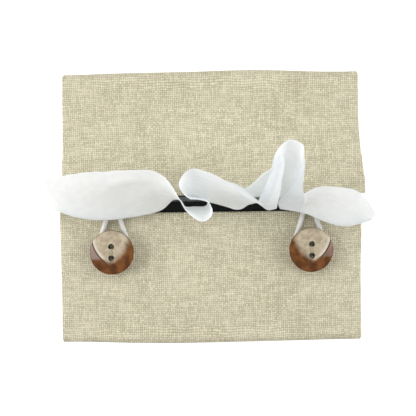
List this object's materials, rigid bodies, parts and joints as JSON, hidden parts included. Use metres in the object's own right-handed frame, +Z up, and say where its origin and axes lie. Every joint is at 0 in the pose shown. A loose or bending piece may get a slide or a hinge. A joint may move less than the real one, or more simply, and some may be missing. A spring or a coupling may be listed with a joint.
{
  "type": "square tissue box cover",
  "caption": "Lined linen cover for a cube carton of tissues: two top flaps meet at a slit, each end held by a cord loop over a button, with a tissue standing up through it.",
  "frame": {"origin": "middle of the underside of the base", "axes": "+Z up; +X along the slit; the buttoned flap is on the -Y side and the looped flap on the +Y side"},
  "size_m": [0.134, 0.109, 0.17],
  "materials": {
    "linen": "natural plain-weave linen with slubs",
    "lining": "black plain cotton",
    "horn": "polished horn look, cream over brown",
    "thread": "waxed cream sewing thread",
    "cord": "white braided elastic cord",
    "card": "dark printed folding carton",
    "film": "dark tinted film",
    "tissue": "soft white tissue",
    "folded_tissue": "soft white tissue, folded and stacked"
  },
  "bodies": {
    "cover": {"front_wall": "linen", "back_wall": "linen", "left_wall": "linen", "right_wall": "linen", "base_panel": "linen", "front_wall_lining": "lining", "back_wall_lining": "lining", "left_wall_lining": "lining", "right_wall_lining": "lining", "base_lining": "lining", "carton": "card", "slot_film": "film", "tissue_stack": "folded_tissue"},
    "front_flap": {"front_flap": "linen", "front_flap_lining": "lining"},
    "back_flap": {"back_flap": "linen", "back_flap_lining": "lining", "left_loop": "cord", "right_loop": "cord"},
    "left_button": {"left_button": "horn", "left_button_thread": "thread"},
    "right_button": {"right_button": "horn", "right_button_thread": "thread"},
    "tissue": {"tissue_front_ply": "tissue", "tissue_back_ply": "tissue"}
  },
  "joints": [
    {"name": "front_flap_hinge", "type": "hinge", "parent": "cover", "child": "front_flap", "pos_m": [0, -0.0547, 0.1282], "axis": [1, 0, 0], "range_deg": [0, 250], "deforming": ["left_loop", "right_loop", "tissue_front_ply", "tissue_back_ply"]},
    {"name": "back_flap_hinge", "type": "hinge", "parent": "cover", "child": "back_flap", "pos_m": [0, 0.0547, 0.1282], "axis": [-1, 0, 0], "range_deg": [0, 250], "deforming": ["left_loop", "right_loop", "tissue_front_ply", "tissue_back_ply"]},
    {"name": "left_button_twist", "type": "hinge", "parent": "front_flap", "child": "left_button", "pos_m": [-0.0399, -0.0178, 0.128], "axis": [-0.0872, 0, 0.9962], "range_deg": [-30, 30], "stiffness_Nm_per_rad": 0.0002},
    {"name": "right_button_twist", "type": "hinge", "parent": "front_flap", "child": "right_button", "pos_m": [0.0399, -0.0178, 0.128], "axis": [0.0872, 0, 0.9962], "range_deg": [-30, 30], "stiffness_Nm_per_rad": 0.0002},
    {"name": "tissue_pull", "type": "slide", "parent": "cover", "child": "tissue", "axis": [0, 0, 1], "range_m": [0, 0.09], "deforming": ["tissue_front_ply", "tissue_back_ply"]}
  ]
}
